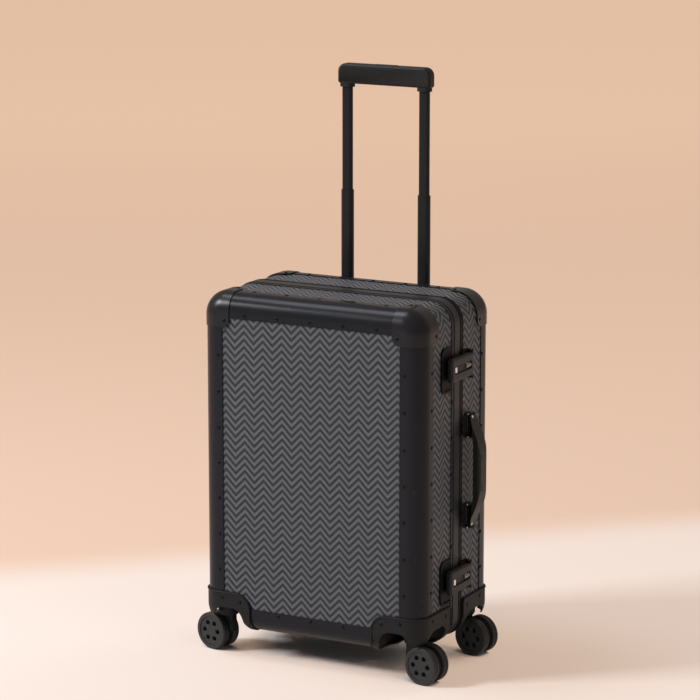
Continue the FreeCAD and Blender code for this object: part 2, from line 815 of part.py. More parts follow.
def fork():
    hub = Vector(trail, 0, wheel_radius)
    half = fork_web / 2
    disc_radius = wheel_radius - fork_disc_inset
    across = Vector(0, half, 0)
    disc = rod(disc_radius, hub - across, hub + across)
    for y in (-half / 2, half / 2):
        low = Vector(hub.x, y - fork_rib_width / 2, hub.z)
        high = Vector(hub.x, y + fork_rib_width / 2, hub.z)
        groove = rod(disc_radius + fork_rib_depth, low, high)
        disc = disc.cut(groove.cut(rod(disc_radius - fork_rib_depth, low, high)))
    neck_x = (-fork_plate_radius + fork_plate, trail / 2)
    neck = block(neck_x, (-half, half), (wheel_radius + fork_plate, fork_top - fork_plate / 2))
    plate = rod(fork_plate_radius, Vector(0, 0, fork_top - fork_plate), Vector(0, 0, fork_top))
    stem = rod(stem_radius, Vector(0, 0, fork_top - fork_plate), Vector(0, 0, boss_bottom + stem_length))
    whole = joined([disc, neck, plate, stem])
    return whole.cut(rod(axle_radius + fixed_gap, hub - across * 2, hub + across * 2))


def axle():
    reach = Vector(0, wheel_outer - wheel_end_wall, 0)
    hub = Vector(trail, 0, wheel_radius)
    return rod(axle_radius, hub - reach, hub + reach)


# Wheel on the far side of the fork: grooved tread, and a dished face with a circle of round pockets
def wheel():
    inner = Vector(trail, wheel_outer - wheel_width, wheel_radius)
    outer = Vector(trail, wheel_outer, wheel_radius)
    disc = rod(wheel_radius, inner, outer)
    rims = [edge for edge in disc.Edges if edge.BoundBox.YLength < tiny]
    disc = disc.makeFillet(wheel_edge_round, rims)
    dish = rod(wheel_dish_radius, outer - Vector(0, wheel_dish_depth, 0), outer + Vector(0, overrun, 0))
    bore_end = outer - Vector(0, wheel_end_wall - running_gap, 0)
    tread_half = Vector(0, tread_groove_width / 2, 0)
    tread_low = (inner + outer) * 0.5 - tread_half
    tread_high = (inner + outer) * 0.5 + tread_half
    groove = rod(wheel_radius + overrun, tread_low, tread_high)
    groove = groove.cut(rod(wheel_radius - tread_groove_depth, tread_low, tread_high))
    cutters = [dish, groove, rod(axle_radius + running_gap, inner, bore_end)]
    hole = rod(wheel_hole_radius, outer - Vector(0, wheel_hole_depth, 0), outer + Vector(0, overrun, 0))
    dish_floor = outer - Vector(0, wheel_dish_depth, 0)
    mouth_radius = wheel_hole_radius + wheel_hole_bevel
    mouth = Part.makeCone(mouth_radius, wheel_hole_radius, wheel_hole_bevel, dish_floor, Vector(0, -1, 0))
    hole = hole.fuse(mouth)
    hole.translate(Vector(0, 0, wheel_hole_circle))
    for index in range(wheel_hole_count):
        turned = hole.copy()
        turned.rotate(outer, Vector(0, 1, 0), 360.0 * (index + 0.5) / wheel_hole_count)
        cutters.append(turned)
    return without(disc, cutters)


def placed(shape, turn, x, y):
    moved = shape.copy()
    moved.rotate(Vector(0, 0, 0), Vector(0, 0, 1), turn)
    moved.translate(Vector(x, y, 0))
    return moved


fork_shape = fork()
axle_shape = axle()
wheel_shape = wheel()
opposite_wheel = wheel_shape.mirror(Vector(0, 0, 0), Vector(0, 1, 0))
for half_name, half_side in sides.items():
    for side_name, side_sign in (("left", -1), ("right", 1)):
        caster = half_name + "_" + side_name
        x = side_sign * swivel_x
        y = half_side * swivel_y
        turn = swivel_turn[caster] + (180.0 if side_sign < 0 else 0.0)
        fore, aft = (opposite_wheel, wheel_shape) if side_sign > 0 else (wheel_shape, opposite_wheel)
        parts[caster + "_fork"] = placed(fork_shape, turn, x, y)
        parts[caster + "_axle"] = placed(axle_shape, turn, x, y)
        parts[caster + "_fore_wheel"] = placed(fore, turn, x, y)
        parts[caster + "_aft_wheel"] = placed(aft, turn, x, y)


# The origin is on the floor under the middle of the whole object
whole = Part.makeCompound(list(parts.values()))
box = whole.optimalBoundingBox(False)
origin = Vector((box.XMin + box.XMax) / 2, (box.YMin + box.YMax) / 2, 0)

os.makedirs("parts", exist_ok=True)
for name, shape in parts.items():
    shape.translate(-origin)
    shape.exportStep("parts/" + name + ".step")
    if not shape.isValid():
        print("not valid:", name)
print("nodes:", len(parts), "case middle from origin: %.3f %.3f" % (-origin.x, -origin.y))
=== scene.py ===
import math

import bmesh
import bpy
from mathutils import Matrix, Vector, noise


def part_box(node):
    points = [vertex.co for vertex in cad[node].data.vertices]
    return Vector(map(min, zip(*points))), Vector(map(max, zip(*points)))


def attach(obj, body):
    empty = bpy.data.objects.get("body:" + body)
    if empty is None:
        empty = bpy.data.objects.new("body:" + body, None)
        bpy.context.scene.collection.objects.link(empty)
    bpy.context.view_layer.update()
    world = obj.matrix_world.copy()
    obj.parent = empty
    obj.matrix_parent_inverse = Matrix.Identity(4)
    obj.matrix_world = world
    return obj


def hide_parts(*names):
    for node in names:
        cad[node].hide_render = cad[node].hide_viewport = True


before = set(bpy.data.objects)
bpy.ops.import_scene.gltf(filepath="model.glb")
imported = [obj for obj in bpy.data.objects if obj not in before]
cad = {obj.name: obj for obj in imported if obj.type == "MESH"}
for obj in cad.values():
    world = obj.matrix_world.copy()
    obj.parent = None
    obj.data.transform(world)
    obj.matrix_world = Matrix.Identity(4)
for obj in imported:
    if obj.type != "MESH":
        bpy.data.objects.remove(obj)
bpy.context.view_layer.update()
print("frame loaded:", len(cad), "nodes")

# the case, read off the rails
frontLow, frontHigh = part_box("front_edge_rails")
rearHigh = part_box("rear_edge_rails")[1]
middleX = (frontLow.x + frontHigh.x) / 2
middleY = (frontLow.y + rearHigh.y) / 2
halfWidth = (frontHigh.x - frontLow.x) / 2
halfDepth = (rearHigh.y - frontLow.y) / 2
caseBottom, caseTop = frontLow.z, frontHigh.z
mm = 0.001


def spot(x, y, z):  # millimetres from the middle of the case, height from the floor
    return Vector((middleX + x * mm, middleY + y * mm, z * mm))


# camera and lamps
view = {
    "place": (2434.6, -4500.5, 1590.6),  # millimetres from the case, as for every spot
    "tilt": 78.23,
    "turn": 28.35,
    "lens": 160.0,
    "sensor": 36.0,
    "sight": 100.0,  # metres
    "world": (0.112, 0.108, 0.106),
    "backdrop": (0.39, 0.325, 0.28),  # only seen, gives no light
}
lamps = {
    "key": {
        "place": (-3.3, -2.8, 3.2), "size": 1.0, "power": 195,
        "colour": (0.97, 0.98, 1.0), "mirrored": True,
    },
    "overhead": {
        "place": (-1.2, -0.4, 3.4), "size": 1.2, "power": 32,
        "colour": (0.86, 0.92, 1.0), "mirrored": True,
    },
    "fill": {
        "place": (3.6, -1.2, 2.0), "size": 2.2, "power": 24,
        "colour": (1.0, 0.95, 0.88), "mirrored": False,
    },
    "rim": {
        "place": (1.6, 3.4, 2.6), "size": 1.6, "power": 30,
        "colour": (1.0, 0.95, 0.9), "mirrored": False,
    },
}
lampAim = (0.0, 0.0, 0.4)


# shader sockets as numbers
class Wire:
    def __init__(self, finish, socket):
        self.finish = finish
        self.socket = socket

    def math(self, operation, *others, clamp=False):
        values = dict(enumerate((self, *others)))
        return self.finish.node("Math", {"operation": operation, "use_clamp": clamp}, values)

    def reflected(self, operation, other):
        return self.finish.node("Math", {"operation": operation}, {0: other, 1: self})

    def __add__(self, other):
        return self.math("ADD", other)

    __radd__ = __add__

    def __sub__(self, other):
        return self.math("SUBTRACT", other)

    def __rsub__(self, other):
        return self.reflected("SUBTRACT", other)

    def __mul__(self, other):
        return self.math("MULTIPLY", other)

    __rmul__ = __mul__

    def __truediv__(self, other):
        return self.math("DIVIDE", other)

    def __gt__(self, other):
        return self.math("GREATER_THAN", other)

    def __abs__(self):
        return self.math("ABSOLUTE")

    def floor(self):
        return self.math("FLOOR")

    def wrapped(self):  # the part after the decimal point
        return self.math("FRACT")

    def ramp(self, low, high):  # 0 below low, 1 above high
        sockets = {"Value": self, "From Min": low, "From Max": high}
        return self.finish.node("MapRange", {"interpolation_type": "SMOOTHSTEP"}, sockets)


class Nodes:  # one tree of shader nodes and the shader at its end
    def __init__(self, tree, shader):
        self.tree = tree
        self.shader = tree.nodes[shader]

    def feed(self, socket, value):
        if isinstance(value, Wire):
            self.tree.links.new(value.socket, socket)
        elif socket.type == "RGBA" and len(value) == 3:
            socket.default_value = (*value, 1.0)
        else:
            socket.default_value = value

    def node(self, kind, settings=None, sockets=None, output=0):
        made = self.tree.nodes.new("ShaderNode" + kind)
        for key, value in (settings or {}).items():
            setattr(made, key, value)
        for key, value in (sockets or {}).items():
            self.feed(made.inputs[key], value)
        return Wire(self, made.outputs[output])

    def set(self, name, value):
        self.feed(self.shader.inputs[name], value)

    def mix(self, factor, first, second):
        return self.node("Mix", {"data_type": "RGBA"}, {0: factor, 6: first, 7: second}, 2)

    def seen(self):  # 1 where the eye, a mirror or glass looks, 0 where light is gathered
        rays = self.node("LightPath").socket.node.outputs
        kinds = ("Camera", "Glossy", "Transmission")
        camera, glossy, clear = [Wire(self, rays["Is %s Ray" % kind]) for kind in kinds]
        return camera.math("MAXIMUM", glossy).math("MAXIMUM", clear)


class Finish(Nodes):
    def __init__(self, name, roughness=0.5, metallic=0.0):
        self.material = bpy.data.materials.new(name)
        self.material.use_nodes = True
        super().__init__(self.material.node_tree, "Principled BSDF")
        self.set("Roughness", roughness)
        self.set("Metallic", metallic)

    def coords(self):
        return self.node("TexCoord", output="Object")

    def split(self, vector):
        made = self.node("SeparateXYZ", sockets={0: vector})
        return [Wire(self, socket) for socket in made.socket.node.outputs]

    def normals(self):
        return self.split(self.node("TexCoord", output="Normal"))

    def scaled(self, vector, x, y, z):
        return self.node("VectorMath", {"operation": "MULTIPLY"}, {0: vector, 1: (x, y, z)})

    def grain(self, vector, scale, detail=2.0, rough=0.5):
        sockets = {"Vector": vector, "Scale": scale, "Detail": detail, "Roughness": rough}
        return self.node("TexNoise", sockets=sockets)

    def cells(self, vector, scale, feature="F1"):
        return self.node("TexVoronoi", {"feature": feature}, {"Vector": vector, "Scale": scale})

    def bump(self, height, distance, strength=1.0):
        sockets = {"Height": height, "Distance": distance, "Strength": strength}
        self.set("Normal", self.node("Bump", sockets=sockets))


def setStage():
    camera = bpy.data.objects.new("camera", bpy.data.cameras.new("camera"))
    camera.data.sensor_width = view["sensor"]
    camera.data.lens = view["lens"]
    camera.data.clip_end = view["sight"]
    camera.location = spot(*view["place"])
    camera.rotation_euler = (math.radians(view["tilt"]), 0.0, math.radians(view["turn"]))
    bpy.context.collection.objects.link(camera)
    bpy.context.scene.camera = camera
    bpy.context.scene.view_settings.view_transform = "Standard"
    for name, lamp in lamps.items():
        light = bpy.data.lights.new(name, "AREA")
        light.size = lamp["size"]
        light.energy = lamp["power"]
        light.color = lamp["colour"]
        stand = bpy.data.objects.new(name, light)
        stand.location = lamp["place"]
        stand.visible_glossy = lamp["mirrored"]
        aim = Vector(lampAim) - stand.location
        stand.rotation_euler = aim.to_track_quat("-Z", "Y").to_euler()
        bpy.context.collection.objects.link(stand)
    world = bpy.data.worlds.new("studio")
    world.use_nodes = True
    studio = Nodes(world.node_tree, "Background")
    studio.set("Color", studio.mix(studio.seen(), view["world"], view["backdrop"]))
    bpy.context.scene.world = world


canvas = {
    "light": (0.172, 0.173, 0.186),
    "dark": (0.028, 0.0285, 0.032),
    "column": 0.018,  # width of one row of slanting stripes
    "stripe": 0.0125,  # one light and one dark stripe
    "softness": (0.20, 0.30),  # where a stripe turns from dark to light
    "seam": (0.44, 0.5),
    "thread": 0.0011,
    "speckle": 420.0,  # to the metre
    "fleck": 1500.0,
    "relief": 0.00022,
    "roughness": 0.5,
    "shine": 0.2,
}
squareOn = 0.7  # a normal that leans this far along an axis makes its face a side


def canvasTwill(name, wraps):
    made = Finish(name)
    place = made.coords()
    x, y, z = made.split(place)
    if wraps:  # sides run along Y and Z, top and bottom along X and Y
        side = abs(made.normals()[0]) > squareOn
        across = y * side + x * (1 - side)
        up = z * side + y * (1 - side)
    else:
        across, up = x, z
    column = across / canvas["column"]
    index = column.floor()
    lean = index.math("FLOORED_MODULO", 2.0) * 2.0 - 1.0
    within = column - index
    slant = up + lean * within * canvas["column"]
    stripe = abs((slant / canvas["stripe"] + lean * 0.25).wrapped() - 0.5)
    light = stripe.ramp(*canvas["softness"])
    speckle = made.grain(place, canvas["speckle"], 2.0, 0.6)
    fleck = made.grain(place, canvas["fleck"], 1.0)
    tone = light * 0.80 + speckle * 0.44 - 0.14 + (fleck - 0.5) * 0.24
    made.set("Base Color", made.mix(tone.math("ADD", 0.0, clamp=True), canvas["dark"], canvas["light"]))
    thread = abs((slant / canvas["thread"]).wrapped() - 0.5)
    weft = abs((up / canvas["thread"]).wrapped() - 0.5)
    edge = abs(within - 0.5).ramp(*canvas["seam"])
    made.bump(thread + weft * 0.5 + fleck * 0.8 + light * 0.6 - edge * 0.8, canvas["relief"], 0.7)
    made.set("Roughness", canvas["roughness"] + (speckle - 0.5) * 0.22 - light * 0.05)
    made.set("Specular IOR Level", canvas["shine"])
    return made.material


rail = {
    "tone": (0.0145, 0.0145, 0.0185),
    "worn": (0.05, 0.05, 0.052),
    "roughness": 0.25,
    "shine": 0.17,
    "topHeight": 0.0408,  # of the level rails
    "bottomHeight": 0.0415,
    "blotch": 9.0,
    "scuff": 65.0,
    "scuffed": (0.60, 0.74),
    "rounded": (0.25, 0.5),
    "relief": 0.00003,
}


def brushedBlack(name, tone, roughness, lengthwise, wear=0.5, shine=rail["shine"]):
    made = Finish(name)
    place = made.coords()
    z = made.split(place)[2]
    streaks = [made.grain(made.scaled(place, *stretch), 1.0, 3.0, 0.6) for stretch in lengthwise]
    streak = streaks[0]
    if len(streaks) > 1:  # level rails above and below, upright ones between
        above = z > caseTop - rail["topHeight"]
        lying = above + z.math("LESS_THAN", caseBottom + rail["bottomHeight"])
        streak = streaks[0] * (1 - lying) + streaks[1] * lying
    blotch = made.grain(place, rail["blotch"], 2.0)
    nx, ny, nz = made.normals()
    rounding = abs(nx * ny) + abs(ny * nz) + abs(nx * nz)
    scuff = made.grain(place, rail["scuff"], 4.0, 0.7)
    worn = scuff.ramp(*rail["scuffed"]) * rounding.ramp(*rail["rounded"]) * wear
    made.set("Base Color", made.mix(worn, tone, rail["worn"]))
    made.set("Roughness", roughness + (streak - 0.5) * 0.26 + (blotch - 0.5) * 0.10 + worn * 0.12)
    made.bump(streak + worn * 0.3, rail["relief"], 0.6)
    made.set("Specular IOR Level", shine)
    return made.material


moulded = {
    "rubStretch": (40.0, 40.0, 160.0),
    "rubbed": (0.62, 0.75),
    "lighter": (2.6, 0.012),  # times the tone, plus a little
    "fine": 2200.0,
    "broad": 28.0,
    "relief": 0.00012,
    "shine": 0.22,
}


def mouldedBlack(name, tone, roughness, grainSize=0.0009, scratch=0.4):
    made = Finish(name)
    place = made.coords()
    pebble = made.cells(place, 1.0 / grainSize)
    fine = made.grain(place, moulded["fine"], 1.0)
    broad = made.grain(place, moulded["broad"], 3.0)
    smear = made.grain(made.scaled(place, *moulded["rubStretch"]), 1.0, 4.0, 0.65)
    rub = smear.ramp(*moulded["rubbed"]) * scratch
    times, plus = moulded["lighter"]
    lighter = tuple(value * times + plus for value in tone)
    made.set("Base Color", made.mix(rub * 0.55 + (broad - 0.5) * 0.2, tone, lighter))
    made.set("Roughness", roughness + (broad - 0.5) * 0.16 + (pebble - 0.4) * 0.1 - rub * 0.1)
    made.bump(pebble * 0.8 + fine * 0.4, moulded["relief"], 0.55)
    made.set("Specular IOR Level", moulded["shine"])
    return made.material


turned = {"lines": (90.0, 90.0, 2600.0), "haze": 130.0, "hazed": 0.72, "relief": 0.00002}


def turnedMetal(name, tone, roughness):
    made = Finish(name, roughness, 1.0)
    place = made.coords()
    lines = made.grain(made.scaled(place, *turned["lines"]), 1.0, 2.0)
    haze = made.grain(place, turned["haze"], 3.0)
    darker = tuple(value * turned["hazed"] for value in tone)
    made.set("Base Color", made.mix(haze.ramp(0.45, 0.75), tone, darker))
    made.set("Roughness", roughness + (lines - 0.5) * 0.16 + (haze - 0.5) * 0.12)
    made.bump(lines, turned["relief"], 0.5)
    return made.material


hide = {
    "tone": (0.013, 0.0128, 0.013),
    "creaseShade": (0.005, 0.005, 0.005),
    "rubbed": (0.045, 0.043, 0.042),
    "grain": 520.0,
    "pore": 1400.0,
    "fold": 90.0,
    "relief": 0.0003,
    "roughness": 0.46,
    "shine": 0.3,
}


def grainedHide(name):
    made = Finish(name)
    place = made.coords()
    fold = made.grain(place, hide["fold"], 2.0)
    pebble = made.cells(place, hide["grain"], "DISTANCE_TO_EDGE").ramp(0.02, 0.22)
    pore = made.grain(place, hide["pore"], 2.0)
    rubbed = fold.ramp(0.55, 0.72) * pebble * 0.5
    # the creases between the pebbles are painted darker: painted shade
    base = made.mix(pebble, hide["creaseShade"], hide["tone"])
    made.set("Base Color", made.mix(rubbed, base, hide["rubbed"]))
    made.set("Roughness", hide["roughness"] - pebble * 0.06 + (fold - 0.5) * 0.2)
    made.bump(pebble + pore * 0.25 + fold * 0.3, hide["relief"], 0.7)
    made.set("Specular IOR Level", hide["shine"])
    return made.material


cloth = {
    "warp": (0.062, 0.062, 0.067),
    "weft": (0.036, 0.036, 0.04),
    "rib": 0.0016,
    "slub": (60.0, 60.0, 900.0),
    "relief": 0.0002,
    "roughness": 0.58,
    "sheen": 0.25,
}


def liningCloth(name):
    made = Finish(name)
    place = made.coords()
    x, y, z = made.split(place)
    nx, ny, nz = made.normals()
    side = abs(nx) > squareOn
    along = y * side + x * (1 - side)
    lift = abs(nz) > squareOn
    up = y * lift + z * (1 - lift)
    one = abs(((along + up) / cloth["rib"]).wrapped() - 0.5)
    two = abs(((along - up) / cloth["rib"]).wrapped() - 0.5)
    slub = made.grain(made.scaled(place, *cloth["slub"]), 1.0, 2.0)
    tone = one * 1.1 + slub * 0.6 - 0.2
    made.set("Base Color", made.mix(tone.math("ADD", 0.0, clamp=True), cloth["weft"], cloth["warp"]))
    made.set("Roughness", cloth["roughness"] + (slub - 0.5) * 0.2)
    made.bump(one + two + slub * 0.5, cloth["relief"], 0.6)
    made.set("Sheen Weight", cloth["sheen"])
    return made.material


webbing = {
    "tone": (0.02, 0.02, 0.022),
    "raised": (0.05, 0.05, 0.055),
    "rib": 0.0021,
    "fuzz": 1300.0,
    "relief": 0.0004,
    "roughness": 0.62,
    "sheen": 0.2,
}


def webbingCloth(name):
    made = Finish(name)
    place = made.coords()
    x, y, z = made.split(place)
    row = (z / webbing["rib"]).floor()
    weave = abs((x / webbing["rib"] + row * 0.5).wrapped() - 0.5)
    ridge = abs((z / webbing["rib"]).wrapped() - 0.5)
    fuzz = made.grain(place, webbing["fuzz"], 2.0)
    tone = (1 - weave * 1.2) * 0.6 + fuzz * 0.5 - 0.1
    made.set("Base Color", made.mix(tone.math("ADD", 0.0, clamp=True), webbing["tone"], webbing["raised"]))
    made.set("Roughness", webbing["roughness"] + (fuzz - 0.5) * 0.24)
    made.bump(1 - weave - ridge + fuzz * 0.4, webbing["relief"], 0.8)
    made.set("Sheen Weight", webbing["sheen"])
    return made.material


rubber = {
    "tone": (0.011, 0.011, 0.012),
    "dusty": (0.03, 0.029, 0.028),
    "dust": 150.0,
    "relief": 0.0001,
    "roughness": 0.62,
}


def softRubber(name):
    made = Finish(name)
    dust = made.grain(made.coords(), rubber["dust"], 4.0, 0.7)
    made.set("Base Color", made.mix(dust.ramp(0.5, 0.8), rubber["tone"], rubber["dusty"]))
    made.set("Roughness", rubber["roughness"] + (dust - 0.5) * 0.3)
    made.bump(dust, rubber["relief"], 0.4)
    return made.material


ground = {
    "reach": 40.0,  # metres from the middle to each edge
    "tone": (0.60, 0.60, 0.60),
    "cloud": 0.7,
    "clouded": 0.985,
    "roughness": 0.7,
    "shine": 0.2,
    "wall": (0.60, 0.43, 0.33),
    "wallTurn": 44.25,
    "foot": (0.51, 0.76),  # metres behind the case where the floor turns to wall
    "nearPaintedLight": (0.475, 0.325, 0.235),  # painted light on the floor and wall, only seen, giving no light
    "lampPaintedLight": (0.15, 0.105, 0.08),  # less painted light under the key lamp, which lights the floor brightly there
    "lampReach": (1.4, 3.3),
    "wallPaintedLight": (0.385, 0.265, 0.195),
    "farPaintedLight": (0.66, 0.445, 0.31),
    "fade": (0.6, 7.5),
    "horizon": (13.0, 36.0),  # metres off, where the floor fades into the backdrop
    "contact": 0.15,  # reach of the shade under the case
    "shade": (0.24, 0.33),
}


def paleFloor(name):
    made = Finish(name, ground["roughness"])
    place = made.coords()
    clouds = made.grain(place, ground["cloud"], 2.0)
    darker = tuple(value * ground["clouded"] for value in ground["tone"])
    x, y, z = made.split(place)

    def behind(turn):
        return y * math.cos(math.radians(turn)) - x * math.sin(math.radians(turn))

    foot = behind(ground["wallTurn"]).ramp(*ground["foot"])
    fromCase = made.node("VectorMath", {"operation": "LENGTH"}, {0: place}, "Value")
    far = fromCase.ramp(*ground["horizon"])
    tone = made.mix(foot, made.mix(clouds, ground["tone"], darker), ground["wall"])
    made.set("Base Color", made.mix(far, tone, (0.0, 0.0, 0.0)))
    wall = made.mix(behind(view["turn"]).ramp(*ground["fade"]), ground["wallPaintedLight"], ground["farPaintedLight"])
    lampX, lampY, lampZ = lamps["key"]["place"]
    sockets = {0: place, 1: (lampX, lampY, 0.0)}
    fromLamp = made.node("VectorMath", {"operation": "DISTANCE"}, sockets, "Value")
    near = made.mix(fromLamp.ramp(*ground["lampReach"]), ground["lampPaintedLight"], ground["nearPaintedLight"])
    # painted light on the floor and wall, fading into the backdrop far off
    paintedLight = made.mix(far, made.mix(foot, near, wall), view["backdrop"])
    # painted shade: the painted light is taken away under the case, where little open sky is seen
    sky = made.node("AmbientOcclusion", {"samples": 16}, {"Distance": ground["contact"]}, "AO")
    clear = sky.ramp(*ground["shade"])
    made.set("Emission Color", made.mix(made.seen() * clear, (0.0, 0.0, 0.0), paintedLight))
    made.set("Emission Strength", 1.0)
    made.set("Specular IOR Level", ground["shine"])
    return made.material


upright = (700.0, 700.0, 7.0)
level = (7.0, 700.0, 700.0)
finishes = {
    "canvasFace": canvasTwill("canvasFace", False),
    "canvasBand": canvasTwill("canvasBand", True),
    "railBlack": brushedBlack("railBlack", rail["tone"], rail["roughness"], [upright, level]),
    "capBlack": brushedBlack("capBlack", (0.0110, 0.0110, 0.0140), 0.28, [(20.0, 20.0, 20.0)], 0.5, 0.30),
    "frameGrey": brushedBlack("frameGrey", (0.028, 0.028, 0.030), 0.38, [upright, level], 0.8),
    "frameDark": brushedBlack("frameDark", (0.004, 0.004, 0.0045), 0.5, [upright, level], 0.4, 0.08),
    "latchBlack": brushedBlack("latchBlack", (0.026, 0.026, 0.027), 0.36, [(120.0, 900.0, 120.0)], 0.9),
    "latchDark": brushedBlack("latchDark", (0.006, 0.006, 0.0065), 0.5, [(120.0, 900.0, 120.0)], 0.5, 0.1),
    "rivetBlack": brushedBlack("rivetBlack", (0.003, 0.003, 0.0035), 0.2, [(300.0, 300.0, 300.0)], 0.2),
    "tubeBlack": brushedBlack("tubeBlack", (0.018, 0.018, 0.019), 0.3, [(900.0, 900.0, 5.0)], 0.6),
    "guardPlastic": mouldedBlack("guardPlastic", (0.0125, 0.0125, 0.0132), 0.52),
    "gripPlastic": mouldedBlack("gripPlastic", (0.0135, 0.0132, 0.0132), 0.46, 0.0007),
    "forkPlastic": mouldedBlack("forkPlastic", (0.012, 0.012, 0.0125), 0.5),
    "wheelPlastic": mouldedBlack("wheelPlastic", (0.042, 0.042, 0.042), 0.46, 0.0012, 0.8),
    "buttonPlastic": mouldedBlack("buttonPlastic", (0.01, 0.01, 0.0105), 0.3, 0.0005),
    "steel": turnedMetal("steel", (0.56, 0.56, 0.57), 0.3),
    "dialSteel": turnedMetal("dialSteel", (0.36, 0.365, 0.375), 0.34),
    "brightCatch": turnedMetal("brightCatch", (0.86, 0.87, 0.89), 0.12),
    "handleHide": grainedHide("handleHide"),
    "lining": liningCloth("lining"),
    "webbing": webbingCloth("webbing"),
    "buckle": mouldedBlack("buckle", (0.012, 0.012, 0.013), 0.42, 0.0006),
    "seal": softRubber("seal"),
    "numeralPaint": mouldedBlack("numeralPaint", (0.008, 0.008, 0.008), 0.5, 0.0002),
    "thread": webbingCloth("thread"),
    "floor": paleFloor("floor"),
}
print("finishes made:", len(finishes))

endings = [  # the first ending that fits a node's name gives its finish
    ("face_panel", "canvasFace"), ("wall_band", "canvasBand"), ("edge_rails", "railBlack"),
    ("corner_caps", "capBlack"), ("wheel_guards", "guardPlastic"), ("front_frame", "frameGrey"),
    ("rear_frame", "frameDark"),
    ("_lining", "lining"), ("frame_seal", "seal"), ("hinge_leaves_front", "latchBlack"),
    ("hinge_leaves_rear", "latchBlack"), ("_pins", "steel"), ("_axle", "steel"), ("_shaft", "steel"),
    ("latch_keepers", "latchDark"), ("latch_bases", "latchDark"), ("latch_lever", "latchBlack"),
    ("latch_release", "brightCatch"), ("_dial_1", "dialSteel"), ("_dial_2", "dialSteel"),
    ("_dial_3", "dialSteel"), ("side_handle", "handleHide"), ("handle_brackets", "latchBlack"),
    ("_tubes", "tubeBlack"), ("_housing", "gripPlastic"), ("trolley_grip", "gripPlastic"),
    ("trolley_button", "buttonPlastic"), ("packing_straps", "webbing"), ("_fork", "forkPlastic"),
    ("_wheel", "wheelPlastic"),
]


shading = {"merge": 0.00001, "crisp": 32}  # metres, degrees


def dressNodes():
    for name, node in cad.items():
        finish = next(finishes[look] for ending, look in endings if name.endswith(ending))
        node.data.materials.clear()
        node.data.materials.append(finish)
        node.data.polygons.foreach_set("use_smooth", [True] * len(node.data.polygons))
        weld = node.modifiers.new("weld", "WELD")
        weld.merge_threshold = shading["merge"]
        split = node.modifiers.new("crisp", "EDGE_SPLIT")
        split.split_angle = math.radians(shading["crisp"])


def addPiece(name, mesh, body, finish):
    piece = bpy.data.objects.new(name, mesh)
    bpy.context.collection.objects.link(piece)
    mesh.materials.clear()
    mesh.materials.append(finishes[finish])
    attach(piece, body)
    return piece


def plainMesh(host):  # what modifiers, a curve or text make, as a mesh of its own
    bpy.context.view_layer.update()
    graph = bpy.context.evaluated_depsgraph_get()
    return bpy.data.meshes.new_from_object(host.evaluated_get(graph), depsgraph=graph)


# geometry nodes with named sizes
class Tree:
    def __init__(self, name):
        self.tree = bpy.data.node_groups.new(name, "GeometryNodeTree")
        self.tree.interface.new_socket("Geometry", in_out="INPUT", socket_type="NodeSocketGeometry")
        self.tree.interface.new_socket("Geometry", in_out="OUTPUT", socket_type="NodeSocketGeometry")
        self.start = self.tree.nodes.new("NodeGroupInput")
        self.end = self.tree.nodes.new("NodeGroupOutput")
        self.sizes = {}

    def size(self, name, value, kind="NodeSocketFloat"):
        made = self.tree.interface.new_socket(name, in_out="INPUT", socket_type=kind)
        self.sizes[made.identifier] = value
        return self.start.outputs[name]

    def node(self, kind, settings=None, sockets=None):
        made = self.tree.nodes.new(kind)
        for key, value in (settings or {}).items():
            setattr(made, key, value)
        for key, value in (sockets or {}).items():
            if isinstance(value, bpy.types.NodeSocket):
                self.tree.links.new(value, made.inputs[key])
            else:
                made.inputs[key].default_value = value
        return made

    def close(self, geometry, finish):
        real = self.node("GeometryNodeRealizeInstances", sockets={"Geometry": geometry})
        sockets = {"Geometry": real.outputs[0], "Material": finish}
        painted = self.node("GeometryNodeSetMaterial", sockets=sockets)
        self.tree.links.new(painted.outputs[0], self.end.inputs[0])

    def baked(self, host):
        modifier = host.modifiers.new("build", "NODES")
        modifier.node_group = self.tree
        for identifier, value in self.sizes.items():
            modifier[identifier] = value
        mesh = plainMesh(host)
        host.modifiers.remove(modifier)
        bpy.data.objects.remove(host)
        return mesh


rivet = {
    "radius": 3.4 * mm,
    "height": 1.5 * mm,
    "rows": (522.0, 460.0, 398.0, 337.0, 276.0, 214.0, 152.0),  # heights along the upright rails
    "across": (-124.0, -62.0, 0.0, 62.0, 124.0),  # along the top rail
    "below": (-62.0, 0.0, 62.0),  # along the bottom rail
    "fromTop": 35.0,
    "fromSide": 33.0,
    "onWall": 36.5,
    "besideFrame": 17.2,
    "capProud": 1.5,
    "guardProud": 2.5,
    "leafInset": 0.0075,
    "leafProud": 0.003,
    "leafHeights": (168.0, 508.0),
    "leafSteps": (-24.0, 0.0, 24.0),
}


